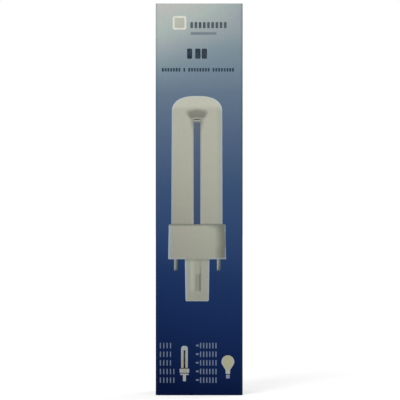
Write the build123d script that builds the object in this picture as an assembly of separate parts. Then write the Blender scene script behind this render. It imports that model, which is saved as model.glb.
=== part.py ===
from build123d import *
import math
import os

# A closed folding carton for a twin-tube two-pin lamp, with its lamp standing inside.
# The carton is one folded and glued board with a straight tuck lid at each end.
# Millimetres, +Z up, the front panel faces -Y, the origin is at the middle of the bottom.

# Carton board and the room that it leaves round the lamp
board = 0.45
cap_room = 1.25
headroom = 16.3
crease_inside = 0.15
seam_slit = 0.12
glue_flap_width = 10.0
glue_flap_margin = 3.0
glue_flap_slope = 2.5

# Tuck lids and dust flaps
crease_gap = 0.1
tuck_gap = 0.2
lid_side_gap = 0.3
tongue_length = 9.6
tongue_inset = 1.1
tongue_corner = 4.0
lock_slit_length = 3.6
lock_slit_height = 0.5
dust_flap_spacing = 5.6
dust_flap_front_gap = 0.3
dust_flap_back_gap = 0.4
dust_flap_taper = 1.6

# Lamp glass
tube_diameter = 12.0
tube_gap = 3.6
glass_length = 95.5
glass_seat_depth = 8.0
glass_fit = 0.1
glass_stem_inset = 1.7
glass_stem_height = 2.5

# Lamp cap and pins: the margins make the cap 31 mm wide and put the pins 23 mm apart
cap_margin = 1.7
cap_depth = 19.0
cap_height = 18.8
cap_corner = 4.2
cap_wall = 1.4
cap_edge = 0.9
cap_draft = 1.2
plate_thickness = 2.0
plate_fit = 0.1
pin_diameter = 2.35
pin_length = 6.6
pin_margin = 4.0
pin_fit = 0.03
pin_head_diameter = 3.8
pin_head_height = 0.8
pin_tip_inset = 0.25
pin_tip_height = 0.4

# Starter post with the starter and its capacitor
post_width = 13.0
post_depth = 10.5
post_length = 22.7
post_corner = 1.0
post_wall = 1.2
post_edge = 0.6
latch_width = 3.2
latch_height = 9.0
latch_depth = 0.4
latch_rise = 5.5
starter_diameter = 5.6
starter_height = 14.0
starter_offset = -2.0
capacitor_size = (2.6, 6.4, 9.0)
capacitor_offset = 3.4
capacitor_edge = 0.5
lead_diameter = 0.6
lead_drop = 2.6
lead_inset = 2.4
starter_lead_pitch = 1.8
starter_tip_diameter = 2.2
starter_tip_height = 1.2

# Printed ground: the tones run from the top of the panel to the bottom
ink = 0.04
ground_floor_gap = 0.3
ground_tones = 8

# Printed picture of the lamp, from the panel's middle line, its top edge and its bottom edge
picture_offset = -0.85
picture_drop = 36.5
picture_foot = 37.3
picture_glass_width = 20.0
picture_glass_corner = 4.0
picture_glass_shoulder = 2.8
picture_slot_width = 2.7
picture_slot_drop = 10.8
picture_bridge_width = 8.6
picture_bridge_height = 5.2
picture_cap_width = 22.8
picture_cap_top_width = 22.0
picture_cap_height = 13.8
picture_cap_end = 2.6
picture_post_width = 9.6
picture_post_height = 16.7
picture_post_corner = 0.5
picture_groove_offset = 1.2
picture_groove_width = 0.4
picture_groove_height = 12.4
picture_notch_width = 2.2
picture_notch_height = 6.8
picture_pin_width = 1.5
picture_pin_height = 4.6
picture_pin_spacing = 16.9

# Printed marks above the picture: a plain badge and bars in the place of words.
# Each is placed by its offset from the panel's middle line and its drop from the top edge.
badge_size = 5.4
badge_corner = 0.8
badge_offset = -7.8
badge_drop = 7.7
title_bar_width = 14.0
title_bar_height = 2.6
title_offset = 3.6
title_drop = 8.9
rule_width = 10.2
rule_height = 1.0
rule_offset = 1.7
rule_drop = 11.9
rating_bar_height = 3.8
rating_bar_widths = (2.4, 5.0)
rating_bar_gap = 1.1
rating_offset = -0.4
rating_drop = 19.9
caption_bar_height = 1.3
caption_bar_widths = (8.3, 1.1, 8.0, 8.0)
caption_bar_gap = 1.0
caption_offset = -0.4
caption_drop = 26.3

# Printed table and its two small pictures, from the panel's middle line and its bottom edge
table_top = 20.8
table_pitch = 3.42
table_bar_height = 2.2
table_left_column = -15.6
table_left_widths = (4.5, 4.5, 4.5, 5.8, 6.0)
table_right_column = -1.5
table_right_width = 8.5
icon_lamp_offset = -5.85
icon_lamp_top = 19.7
icon_glass_width = 2.8
icon_glass_height = 8.9
icon_slot_width = 0.5
icon_slot_height = 6.9
icon_cap_width = 3.9
icon_cap_height = 1.9
icon_collar_width = 3.4
icon_collar_height = 0.8
icon_post_width = 1.3
icon_post_height = 2.5
icon_bulb_offset = 11.35
icon_bulb_height = 13.3
icon_bulb_radius = 2.65
icon_taper_width = 4.7
icon_taper_drop = 1.2
icon_neck_width = 1.9
icon_neck_top_drop = 3.3
icon_neck_drop = 4.8
icon_bulb_cap_width = 1.5
icon_bulb_cap_height = 1.6
icon_bulb_cap_gap = 0.3

# Places worked out from the sizes above
crease_outside = crease_inside + board
flap_level = board + crease_gap
lamp_foot = flap_level + board
cap_floor = lamp_foot + post_length
plate_top = cap_floor + plate_thickness
cap_top = cap_floor + cap_height
glass_foot = cap_top - glass_seat_depth
glass_top = cap_top + glass_length
tube_radius = tube_diameter / 2
tube_spacing = tube_diameter + tube_gap
cap_width = tube_spacing + tube_diameter + 2 * cap_margin
pin_spacing = cap_width - 2 * pin_margin

inner_width = cap_width + 2 * cap_room
inner_depth = cap_depth + 2 * cap_room
carton_width = inner_width + 2 * board
carton_depth = inner_depth + 2 * board
carton_height = glass_top + headroom + board + flap_level
front_face = -carton_depth / 2
back_face = carton_depth / 2
wall_low = flap_level + crease_outside
wall_high = carton_height - wall_low
hinge_y = back_face - board / 2
hinge_z = carton_height - board / 2
lid_width = carton_width - 2 * lid_side_gap
tongue_outside = hinge_y - (front_face + board) - tuck_gap
tongue_inside = tongue_outside - board

picture_top = carton_height - picture_drop
picture_cap_floor = picture_foot + picture_post_height
picture_cap_level = picture_cap_floor + picture_cap_height
picture_slot_top = picture_top - picture_slot_drop


def block(x_range, y_range, z_range):
    """A box given by its low and high edge along each axis."""
    sizes = [high - low for low, high in (x_range, y_range, z_range)]
    centre = [(high + low) / 2 for low, high in (x_range, y_range, z_range)]
    return Pos(*centre) * Box(*sizes)


def wall_section():
    """Section of the folded tube, with the raw edge of the left panel at the rear seam."""
    outline = RectangleRounded(carton_width, carton_depth, crease_outside)
    hollow = RectangleRounded(inner_width, inner_depth, crease_inside)
    corner = (Align.MIN, Align.MAX)
    raw_edge = Pos(-carton_width / 2, back_face) * Rectangle(board, crease_outside, align=corner)
    slit = Pos(board - carton_width / 2, back_face) * Rectangle(seam_slit, board, align=corner)
    return outline + raw_edge - hollow - slit


def glue_flap():
    """Glued flap behind the left panel, sloped at both ends so that it folds in freely."""
    back = inner_depth / 2
    front = back - glue_flap_width
    low = wall_low + glue_flap_margin
    high = wall_high - glue_flap_margin
    outline = Polyline(
        (back, low),
        (front, low + glue_flap_slope),
        (front, high - glue_flap_slope),
        (back, high),
        close=True,
    )
    flap = extrude(Plane.YZ * make_face(outline), board)
    return Pos(-inner_width / 2, 0, 0) * flap


def dust_flap():
    """Top dust flap of the right panel: its quarter-round crease and its tapered leaf."""
    front = hinge_y - tongue_inside + dust_flap_front_gap
    back = inner_depth / 2 - dust_flap_back_gap
    crease_x = carton_width / 2 - crease_outside
    ring = Circle(crease_outside) - Circle(crease_inside)
    quarter = ring & Rectangle(crease_outside, crease_outside, align=(Align.MIN, Align.MIN))
    crease = extrude(Plane.XZ * quarter, back - front)
    crease = Pos(crease_x, back, wall_high) * crease
    leaf_outline = Polyline(
        (crease_x, front),
        (crease_x, back),
        (dust_flap_spacing / 2, back - dust_flap_taper),
        (dust_flap_spacing / 2, front + dust_flap_taper),
        close=True,
    )
    leaf = extrude(make_face(leaf_outline), board)
    leaf = Pos(0, 0, wall_high + crease_inside) * leaf
    return crease + leaf


def carton_body():
    """The one folded board: four panels, the glue flap and four dust flaps."""
    walls = Pos(0, 0, wall_low) * extrude(wall_section(), wall_high - wall_low)
    flat_half = carton_width / 2 - crease_outside
    flat = (-flat_half, flat_half)
    front = block(flat, (front_face, front_face + board), (0, carton_height))
    back = block(flat, (back_face - board, back_face), (flap_level, carton_height - flap_level))
    middle = Plane.XY.offset(carton_height / 2)
    right_top = dust_flap()
    left_top = mirror(right_top, Plane.YZ)
    top_flaps = right_top + left_top
    bottom_flaps = mirror(right_top, middle) + mirror(left_top, middle)
    return walls + front + back + glue_flap() + top_flaps + bottom_flaps


def lid_section():
    """Closure panel and tongue, drawn about the hinge line, which is the section's origin."""
    half = board / 2
    fold_y = half - crease_outside
    fold_x = -math.sqrt((tongue_outside - crease_outside) ** 2 - fold_y ** 2)
    fold_angle = math.degrees(math.atan2(fold_y, fold_x)) % 360
    tip_angle = 180 + math.degrees(tongue_length / tongue_outside)
    tip = Vector(math.cos(math.radians(tip_angle)), math.sin(math.radians(tip_angle)), 0)
    outline = Curve() + [
        Line((0, half), (fold_x, half)),
        CenterArc((fold_x, fold_y), crease_outside, 90, fold_angle - 90),
        CenterArc((0, 0), tongue_outside, fold_angle, tip_angle - fold_angle),
        Line(tip * tongue_outside, tip * tongue_inside),
        CenterArc((0, 0), tongue_inside, tip_angle, fold_angle - tip_angle),
        CenterArc((fold_x, fold_y), crease_inside, fold_angle, 90 - fold_angle),
        Line((fold_x, -half), (0, -half)),
        CenterArc((0, 0), half, 270, 180),
    ]
    return make_face(outline.edges())


def top_lid():
    """Closure panel with its tuck tongue, which curves about the hinge so that it slides out."""
    sheet = extrude(Plane.YZ * lid_section(), lid_width / 2, both=True)
    shoulder = board / 2 - crease_outside
    reach = 2 * tongue_outside
    panel_zone = block((-lid_width, lid_width), (-reach, reach), (shoulder, board))
    tongue_width = lid_width - 2 * tongue_inset
    tip_level = -tongue_outside * math.sin(tongue_length / tongue_outside)
    tongue_outline = Rectangle(tongue_width, shoulder - tip_level, align=(Align.CENTER, Align.MAX))
    tongue_outline = Pos(0, shoulder) * tongue_outline
    corners = tongue_outline.vertices().sort_by(Axis.Y)[:2]
    tongue_zone = extrude(Plane.XZ * fillet(corners, tongue_corner), reach)
    lid = sheet & (panel_zone + tongue_zone)
    for side in (-1, 1):
        slit_end = side * (tongue_width / 2 - lock_slit_length)
        slit_x = sorted((slit_end, side * lid_width))
        lid -= block(slit_x, (-reach, 0), (shoulder - lock_slit_height, shoulder))
    return Pos(0, hinge_y, hinge_z) * lid


def bottom_lid():
    """The same lid at the other end of the same back panel."""
    return mirror(top_lid(), Plane.XY.offset(carton_height / 2))


def ground_tone(index):
    """One tone of the printed ground, as a thin coat on the flats of the four panels."""
    half_x = carton_width / 2 - crease_outside
    half_y = carton_depth / 2 - crease_outside
    step = carton_height / ground_tones
    high = carton_height - index * step
    low = high - step
    front_z = (max(low, ground_floor_gap), high)
    wall_z = (max(low, wall_low), min(high, wall_high))
    side = carton_width / 2
    coats = [
        block((-half_x, half_x), (front_face - ink, front_face), front_z),
        block((-half_x, half_x), (back_face, back_face + ink), wall_z),
        block((-side - ink, -side), (-half_y, half_y), wall_z),
        block((side, side + ink), (-half_y, half_y), wall_z),
    ]
    return Compound(coats)


def printed(face, layer=1):
    """A flat shape drawn in X and Z, laid on the printed front panel as a coat of ink."""
    coat = extrude(Plane.XZ * face, ink)
    return Pos(0, front_face - layer * ink, 0) * coat


def bar(width, height, offset, drop):
    """A plain printed bar, placed by its middle."""
    return Pos(offset, carton_height - drop) * Rectangle(width, height)


def bar_row(widths, height, gap, offset, drop):
    """Printed bars side by side, centred as one line."""
    total = sum(widths) + gap * (len(widths) - 1)
    left = offset - total / 2
    bars = Sketch()
    for width in widths:
        bars += bar(width, height, left + width / 2, drop)
        left += width + gap
    return bars


def hanging(width, height, x, top):
    """A printed rectangle that hangs from a given height."""
    return Pos(x, top) * Rectangle(width, height, align=(Align.CENTER, Align.MAX))


def picture_glass():
    """Pictured glass: two tubes joined at the top, with the slot between them left open."""
    half = picture_glass_width / 2
    shoulder = picture_top - picture_glass_shoulder
    left = picture_offset - half
    right = picture_offset + half
    outline = Curve() + [
        Line((left, picture_cap_level), (left, shoulder)),
        ThreePointArc((left, shoulder), (picture_offset, picture_top), (right, shoulder)),
        Line((right, shoulder), (right, picture_cap_level)),
        Line((right, picture_cap_level), (left, picture_cap_level)),
    ]
    glass = make_face(outline.edges())
    glass = fillet(glass.vertices().group_by(Axis.Y)[-1], picture_glass_corner)
    slot_height = picture_slot_top - picture_cap_level
    return glass - hanging(picture_slot_width, slot_height, picture_offset, picture_slot_top)


def picture_bridge():
    """Shade where the pictured tubes join: a funnel that narrows down to the slot."""
    half = picture_bridge_width / 2
    neck = picture_slot_width / 2
    wide_z = picture_slot_top + picture_bridge_height
    outline = Polyline(
        (picture_offset - neck, picture_slot_top),
        (picture_offset - half, wide_z),
        (picture_offset + half, wide_z),
        (picture_offset + neck, picture_slot_top),
        close=True,
    )
    return make_face(outline)


def picture_cap():
    """Pictured cap, a little wider at its floor."""
    wide = picture_cap_width / 2
    narrow = picture_cap_top_width / 2
    outline = Polyline(
        (picture_offset - wide, picture_cap_floor),
        (picture_offset + wide, picture_cap_floor),
        (picture_offset + narrow, picture_cap_level),
        (picture_offset - narrow, picture_cap_level),
        close=True,
    )
    return make_face(outline)


def picture_cap_shade():
    """The shaded right end of the pictured cap."""
    right = picture_offset + picture_cap_width / 2
    end = Rectangle(picture_cap_end, picture_cap_height, align=(Align.MAX, Align.MIN))
    return picture_cap() & Pos(right, picture_cap_floor) * end


def picture_post():
    """Pictured starter post."""
    post = hanging(picture_post_width, picture_post_height, picture_offset, picture_cap_floor)
    return fillet(post.vertices().sort_by(Axis.Y)[:2], picture_post_corner)


def picture_post_lines():
    """Groove and latch notch on the pictured post."""
    groove_x = picture_offset + picture_groove_offset
    groove = hanging(picture_groove_width, picture_groove_height, groove_x, picture_cap_floor)
    low = picture_cap_floor - picture_groove_height
    notch_x = groove_x - picture_notch_width / 2
    notch = hanging(picture_notch_width, picture_notch_height, notch_x, low + picture_notch_height)
    return groove + notch


def picture_pins():
    """Pictured contact pins."""
    pins = Sketch()
    for side in (-1, 1):
        x = picture_offset + side * picture_pin_spacing / 2
        pins += hanging(picture_pin_width, picture_pin_height, x, picture_cap_floor)
    return pins


def heading_bars():
    """Dark bars in the places of the heading, the rating and the caption."""
    title = bar(title_bar_width, title_bar_height, title_offset, title_drop)
    rating = bar_row(rating_bar_widths, rating_bar_height, rating_bar_gap, rating_offset, rating_drop)
    caption = bar_row(caption_bar_widths, caption_bar_height, caption_bar_gap, caption_offset, caption_drop)
    return title + rating + caption


def badge():
    """A plain pale badge at the top left."""
    square = RectangleRounded(badge_size, badge_size, badge_corner)
    return Pos(badge_offset, carton_height - badge_drop) * square


def table_bars():
    """The two columns of the printed table, as bars."""
    bars = Sketch()
    for row, left_width in enumerate(table_left_widths):
        top = table_top - row * table_pitch
        left_middle = table_left_column + left_width / 2
        right_middle = table_right_column + table_right_width / 2
        bars += hanging(left_width, table_bar_height, left_middle, top)
        bars += hanging(table_right_width, table_bar_height, right_middle, top)
    return bars


def icon_lamp():
    """Small picture of the same kind of lamp, beside the table."""
    glass = hanging(icon_glass_width, icon_glass_height, icon_lamp_offset, icon_lamp_top)
    glass = fillet(glass.vertices().sort_by(Axis.Y)[-2:], icon_glass_width / 3)
    cap_level = icon_lamp_top - icon_glass_height
    glass -= hanging(icon_slot_width, icon_slot_height, icon_lamp_offset, cap_level + icon_slot_height)
    cap = hanging(icon_cap_width, icon_cap_height, icon_lamp_offset, cap_level)
    collar_level = cap_level - icon_cap_height
    collar = hanging(icon_collar_width, icon_collar_height, icon_lamp_offset, collar_level)
    post = hanging(icon_post_width, icon_post_height, icon_lamp_offset, collar_level - icon_collar_height)
    return glass + cap + collar + post


def icon_bulb():
    """Small picture of a pear-shaped bulb, beside the table."""
    x = icon_bulb_offset
    z = icon_bulb_height
    globe = Pos(x, z) * Circle(icon_bulb_radius)
    neck_foot = z - icon_neck_drop
    outline = Polyline(
        (x - icon_taper_width / 2, z - icon_taper_drop),
        (x - icon_neck_width / 2, z - icon_neck_top_drop),
        (x - icon_neck_width / 2, neck_foot),
        (x + icon_neck_width / 2, neck_foot),
        (x + icon_neck_width / 2, z - icon_neck_top_drop),
        (x + icon_taper_width / 2, z - icon_taper_drop),
        close=True,
    )
    cap_top_z = neck_foot - icon_bulb_cap_gap
    cap = hanging(icon_bulb_cap_width, icon_bulb_cap_height, x, cap_top_z)
    return globe + make_face(outline) + cap


def round_bar(radius, height, x, z):
    """An upright round bar on a given level."""
    return Pos(x, 0, z) * Cylinder(radius, height, align=(Align.CENTER, Align.CENTER, Align.MIN))


def lamp_glass():
    """Coated glass: two limbs joined by a bridge at the top, each closed by a narrower stem."""
    bridge_z = glass_top - tube_radius
    limb_foot = glass_foot + glass_stem_height
    glass = Pos(0, 0, bridge_z) * Rot(0, 90, 0) * Cylinder(tube_radius, tube_spacing)
    for side in (-1, 1):
        x = side * tube_spacing / 2
        glass += round_bar(tube_radius, bridge_z - limb_foot, x, limb_foot)
        glass += round_bar(tube_radius - glass_stem_inset, glass_stem_height, x, glass_foot)
        glass += Pos(x, 0, bridge_z) * Rot(0, 90, 0) * Sphere(tube_radius)
    return glass


def cap_shell():
    """Moulded cap: an open-bottomed shell that the two glass limbs pass into."""
    outline = RectangleRounded(cap_width, cap_depth, cap_corner)
    shell = extrude(outline, cap_height, taper=cap_draft)
    shell = chamfer(shell.edges().group_by(Axis.Z)[-1], cap_edge)
    narrowing = cap_height * math.tan(math.radians(cap_draft))
    inset = cap_wall + narrowing
    hollow = RectangleRounded(cap_width - 2 * inset, cap_depth - 2 * inset, cap_corner - cap_wall)
    shell -= extrude(hollow, cap_height - cap_wall)
    for side in (-1, 1):
        shell -= Pos(side * tube_spacing / 2, 0, cap_height) * Cylinder(tube_radius + glass_fit, cap_height)
    return Pos(0, 0, cap_floor) * shell


def pin_plate():
    """Moulded plate that closes the cap, with the hollow starter post below it."""
    inset = cap_wall + cap_height * math.tan(math.radians(cap_draft)) + plate_fit
    corner = cap_corner - cap_wall - plate_fit
    outline = RectangleRounded(cap_width - 2 * inset, cap_depth - 2 * inset, corner)
    plate = Pos(0, 0, cap_floor) * extrude(outline, plate_thickness)
    post_height = cap_floor - lamp_foot
    post = extrude(RectangleRounded(post_width, post_depth, post_corner), post_height)
    post = chamfer(post.edges().group_by(Axis.Z)[0], post_edge)
    plate += Pos(0, 0, lamp_foot) * post
    well = Rectangle(post_width - 2 * post_wall, post_depth - 2 * post_wall)
    plate -= Pos(0, 0, lamp_foot + post_wall) * extrude(well, post_height + plate_thickness)
    latch_z = lamp_foot + latch_rise
    for side in (-1, 1):
        face_y = side * post_depth / 2
        plate -= Pos(0, face_y, latch_z) * Box(
            latch_width,
            2 * latch_depth,
            latch_height,
            align=(Align.CENTER, Align.CENTER, Align.MIN),
        )
        hole = Cylinder(pin_diameter / 2 + pin_fit, 2 * plate_thickness)
        plate -= Pos(side * pin_spacing / 2, 0, cap_floor + plate_thickness) * hole
        plate -= Pos(side * pin_spacing / 2, 0, cap_floor) * hole
    return plate


def contact_pins():
    """Two headed contact pins, set in the plate."""
    pins = []
    for side in (-1, 1):
        x = side * pin_spacing / 2
        tip_z = cap_floor - pin_length
        shank_z = tip_z + pin_tip_height
        pin = round_bar(pin_diameter / 2, plate_top - shank_z, x, shank_z)
        pin += round_bar(pin_diameter / 2 - pin_tip_inset, pin_tip_height, x, tip_z)
        pin += round_bar(pin_head_diameter / 2, pin_head_height, x, plate_top)
        pins.append(pin)
    return Compound(pins)


def glow_starter():
    """Small glass starter that stands on the floor of the post."""
    low = lamp_foot + post_wall
    tip = low + starter_height - starter_tip_height
    body = round_bar(starter_diameter / 2, starter_height - starter_tip_height, starter_offset, low)
    return body + round_bar(starter_tip_diameter / 2, starter_tip_height, starter_offset, tip)


def starter_capacitor():
    """Flat capacitor that stands beside the starter."""
    body = Box(*capacitor_size, align=(Align.CENTER, Align.CENTER, Align.MIN))
    body = fillet(body.edges().filter_by(Axis.Z), capacitor_edge)
    return Pos(capacitor_offset, 0, lamp_foot + post_wall) * body


def wire(points):
    """A round wire along straight runs that meet in creased bends."""
    path = Polyline(*points)
    start = Plane(origin=path @ 0, z_dir=path % 0)
    return sweep(start * Circle(lead_diameter / 2), path=path, transition=Transition.RIGHT)


def electrode_leads():
    """From each glass foot, one wire to the pin beside it and one to the starter."""
    starter_top = lamp_foot + post_wall + starter_height
    pin_top = plate_top + pin_head_height
    wires = []
    for side in (-1, 1):
        pin_x = side * pin_spacing / 2
        inner_x = side * (tube_spacing / 2 - lead_inset)
        starter_x = starter_offset + side * starter_lead_pitch / 2
        wires.append(round_bar(lead_diameter / 2, glass_foot - pin_top, pin_x, pin_top))
        wires.append(wire([
            (inner_x, 0, glass_foot),
            (inner_x, 0, glass_foot - lead_drop),
            (starter_x, 0, plate_top),
            (starter_x, 0, starter_top),
        ]))
    return Compound(wires)


parts = {
    "carton_body": carton_body(),
    "top_lid": top_lid(),
    "bottom_lid": bottom_lid(),
    "lamp_glass": lamp_glass(),
    "cap_shell": cap_shell(),
    "pin_plate": pin_plate(),
    "contact_pins": contact_pins(),
    "glow_starter": glow_starter(),
    "starter_capacitor": starter_capacitor(),
    "electrode_leads": electrode_leads(),
    "print_lamp_glass": printed(picture_glass(), 1),
    "print_lamp_bridge": printed(picture_bridge(), 2),
    "print_lamp_cap": printed(picture_cap(), 1),
    "print_lamp_cap_shade": printed(picture_cap_shade(), 2),
    "print_lamp_post": printed(picture_post(), 1),
    "print_lamp_post_lines": printed(picture_post_lines(), 2),
    "print_lamp_pins": printed(picture_pins(), 1),
    "print_badge": printed(badge(), 1),
    "print_heading_bars": printed(heading_bars(), 1),
    "print_heading_rule": printed(bar(rule_width, rule_height, rule_offset, rule_drop), 1),
    "print_table_bars": printed(table_bars(), 1),
    "print_icon_lamp": printed(icon_lamp(), 1),
    "print_icon_bulb": printed(icon_bulb(), 1),
}
for tone in range(ground_tones):
    parts[f"print_ground_{tone + 1}"] = ground_tone(tone)

os.makedirs("parts", exist_ok=True)
for name, shape in parts.items():
    export_step(shape, f"parts/{name}.step")
    size = shape.bounding_box().size
    print(name, len(shape.solids()), "solids", round(size.X, 2), round(size.Y, 2), round(size.Z, 2))
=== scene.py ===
# %% [markdown]
# # A printed lamp carton
# The object is a tall, narrow folding carton of printed board. A tuck lid closes each end, and a
# twin-tube two-pin lamp stands inside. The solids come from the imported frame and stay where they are.
# This lesson dresses them: it lights the carton as in a plain studio, prints its panels, and finishes
# the bare board, the glass, the moulded cap and the metal.

# %% Load the frame
import math
from functools import partial, reduce

import bpy
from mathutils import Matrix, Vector


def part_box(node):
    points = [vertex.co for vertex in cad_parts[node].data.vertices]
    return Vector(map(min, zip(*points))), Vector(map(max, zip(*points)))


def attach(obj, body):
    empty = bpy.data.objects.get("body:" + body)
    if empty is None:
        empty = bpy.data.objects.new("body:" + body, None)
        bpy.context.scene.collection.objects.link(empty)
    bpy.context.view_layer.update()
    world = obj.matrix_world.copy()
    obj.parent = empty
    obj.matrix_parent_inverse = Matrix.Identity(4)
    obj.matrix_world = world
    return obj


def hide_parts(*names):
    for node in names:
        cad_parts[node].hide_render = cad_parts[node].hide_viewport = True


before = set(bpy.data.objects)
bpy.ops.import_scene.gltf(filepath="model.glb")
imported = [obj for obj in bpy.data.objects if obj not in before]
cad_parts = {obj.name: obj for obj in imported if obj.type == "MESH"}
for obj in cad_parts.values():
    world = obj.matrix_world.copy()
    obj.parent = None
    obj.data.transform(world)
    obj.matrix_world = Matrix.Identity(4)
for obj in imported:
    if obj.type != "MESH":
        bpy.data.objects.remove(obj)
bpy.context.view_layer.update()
mm = 0.001

# %% [markdown]
# ## Sizes taken from the frame
# Every place below is worked out from the boxes of the frame's nodes, so that a print lands on the
# panel that carries it. No box gives the board's thickness, its bend at a crease and the dust flaps'
# level, so these three are written out.

# %% Sizes
body_low, body_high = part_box("carton_body")
lid_low, lid_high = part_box("top_lid")
ink_low, ink_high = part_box("print_badge")

board = 0.45 * mm
crease_radius = 0.6 * mm
flap_level = 0.55 * mm
carton_width = body_high.x - body_low.x
carton_depth = body_high.y - body_low.y
carton_height = body_high.z - body_low.z
front_face = body_low.y
ink = ink_high.y - ink_low.y
hinge_y = lid_high.y - board / 2
tongue_radius = hinge_y - lid_low.y
outer_sizes = [round(size / mm, 2) for size in (carton_width, carton_depth, carton_height)]
print("carton", outer_sizes, "ink", round(ink / mm, 3))

# %% [markdown]
# ## Camera
# The photo looks straight at the front panel with no sign of perspective, so the lens is long. The
# distance follows from the panel's width in the picture, whose frame is 400 pixels each way.

# %% Camera
frame_pixels = 400
panel_left_pixel = 155.8
panel_right_pixel = 242.6
panel_foot_pixel = 395.3
lens_mm = 200
sensor_mm = 36

metres_per_pixel = carton_width / (panel_right_pixel - panel_left_pixel)
middle_pixel = (panel_left_pixel + panel_right_pixel) / 2
aim_x = (frame_pixels / 2 - middle_pixel) * metres_per_pixel
aim_z = (panel_foot_pixel - frame_pixels / 2) * metres_per_pixel
distance = frame_pixels * metres_per_pixel * lens_mm / sensor_mm

camera_data = bpy.data.cameras.new("camera")
camera_data.lens = lens_mm
camera_data.sensor_width = sensor_mm
camera = bpy.data.objects.new("camera", camera_data)
camera.location = (aim_x, front_face - distance, aim_z)
camera.rotation_euler = (math.radians(90), 0, 0)
bpy.context.scene.collection.objects.link(camera)
bpy.context.scene.camera = camera
print("camera distance", round(distance, 3), "m")

# %% [markdown]
# ## One way to add a node
# A material is a small graph. One function adds any node: it sets its settings, links or sets its
# inputs, and gives its result. A table has short names for the settings that come back often, such
# as a smooth step between two limits. Colours are written in hex, and one function turns them into
# the linear values that the renderer works with.

# %% Node and colour helpers
node_names = {
    "ease": ("MapRange", {"interpolation_type": "SMOOTHSTEP"}),
    "share": ("MapRange", {}),
    "tones": ("ValToRGB", {}),
    "lay": ("Mix", {"data_type": "RGBA"}),
    "tint": ("Mix", {"data_type": "RGBA", "blend_type": "MULTIPLY"}),
    "level": ("Mix", {"data_type": "FLOAT"}),
    "length": ("VectorMath", {"operation": "LENGTH"}),
}
for name in ("absolute", "add", "divide", "greater_than", "less_than", "maximum", "modulo", "multiply",
             "power", "subtract"):
    node_names[name] = ("Math", {"operation": name.upper()})
for name in ("absolute", "maximum", "multiply", "subtract"):
    node_names[name + " place"] = ("VectorMath", {"operation": name.upper()})


def linear(text):
    """Linear colour with full alpha from an sRGB hex text."""
    levels = [int(text[place:place + 2], 16) / 255 for place in (0, 2, 4)]
    return [v / 12.92 if v <= 0.04045 else ((v + 0.055) / 1.055) ** 2.4 for v in levels] + [1.0]


def connect(node, values):
    """Links or sets inputs of a node, each by its name or its number."""
    for name, value in values.items():
        if isinstance(value, bpy.types.NodeSocket):
            node.id_data.links.new(value, node.inputs[name])
        else:
            node.inputs[name].default_value = value


def add(tree, name, *values, stops=(), **inputs):
    """Adds a node, fills its open inputs in order and others by name, and gives its first result.

    The stops of a run of tones are pairs of a place from 0 to 1 and a hex colour.
    """
    kind, settings = node_names.get(name, (name, {}))
    node = tree.nodes.new("ShaderNode" + kind)
    for setting, value in settings.items():
        setattr(node, setting, value)
    open_inputs = [number for number, socket in enumerate(node.inputs) if socket.enabled]
    connect(node, dict(zip(open_inputs, values)) | inputs)
    elements = node.color_ramp.elements if stops else []
    while len(elements) < len(stops):
        elements.new(0.5)
    for element, (place, text) in zip(elements, stops):
        element.position = place
        element.color = linear(text)
    return next((socket for socket in node.outputs if socket.enabled), node)


def blank_material(name):
    """A material with only its shader and output, the way to add to it, and its own coordinates."""
    material = bpy.data.materials.new(name)
    material.use_nodes = True
    material.node_tree.nodes.clear()
    put = partial(add, material.node_tree)
    shader = put("BsdfPrincipled")
    put("OutputMaterial", shader)
    return material, put, shader.node, put("TexCoord").node.outputs["Object"]


def product(put, *factors):
    """All the factors multiplied."""
    return reduce(lambda first, second: put("multiply", first, second), factors)


def laid(put, tone, text, *masks):
    """A hex colour laid over a tone, where and as much as all the masks say."""
    return put("lay", product(put, *masks), tone, linear(text))


def scaled(put, tone, level):
    """A tone made lighter or darker by a level."""
    return put("tint", 1.0, tone, put("CombineColor", level, level, level))


print("helpers ready, mid grey is", round(linear("808080")[0], 3))

# %% [markdown]
# ## Studio
# The floor and the surroundings are white. Two soft suns and an even sky light the carton at a plain
# level, at which a colour renders about as it is written. The white comes from the floor's own
# colour for the camera, and not from more light, and the floor still shows the soft shadow.

# %% Floor
floor_size = 8.0
floor_grey = 0.5
floor_glow = 0.57
white_light = (1, 1, 1, 1)
bpy.ops.object.select_all(action="DESELECT")
bpy.ops.mesh.primitive_plane_add(size=floor_size, location=(0, 0, 0))
floor = bpy.context.active_object
floor.name = "floor"
paper_sweep = bpy.data.materials.new("white_paper_sweep")
paper_sweep.use_nodes = True
paper_sweep.node_tree.nodes.clear()
put = partial(add, paper_sweep.node_tree)
rays = put("LightPath").node.outputs
seen = put("maximum", rays["Is Camera Ray"], rays["Is Glossy Ray"])
seen = put("maximum", seen, rays["Is Transmission Ray"])
glow = put("Emission", white_light, put("multiply", seen, floor_glow))
matt = put("BsdfDiffuse", (floor_grey, floor_grey, floor_grey, 1))
put("OutputMaterial", put("AddShader", matt, glow))
floor.data.materials.append(paper_sweep)
print("floor", floor_size, "m")

# %% Sky and suns
fill_level = 0.55
room_level = 0.05
turn = 0.3
world = bpy.data.worlds.new("studio")
bpy.context.scene.world = world
world.use_nodes = True
world.node_tree.nodes.clear()
put = partial(add, world.node_tree)
rays = put("LightPath").node.outputs
way = put("SeparateXYZ", put("TexCoord").node.outputs["Generated"]).node.outputs
# The backdrop side is white in a reflection, and the room in front of the panel is dim.
mirrored = put("ease", way["Y"], -turn, turn, room_level, 1.0)
fill = put("level", rays["Is Glossy Ray"], fill_level, mirrored)
seen = put("maximum", rays["Is Camera Ray"], rays["Is Transmission Ray"])
put("OutputWorld", put("Background", white_light, put("level", seen, fill, 1.0)))

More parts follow.
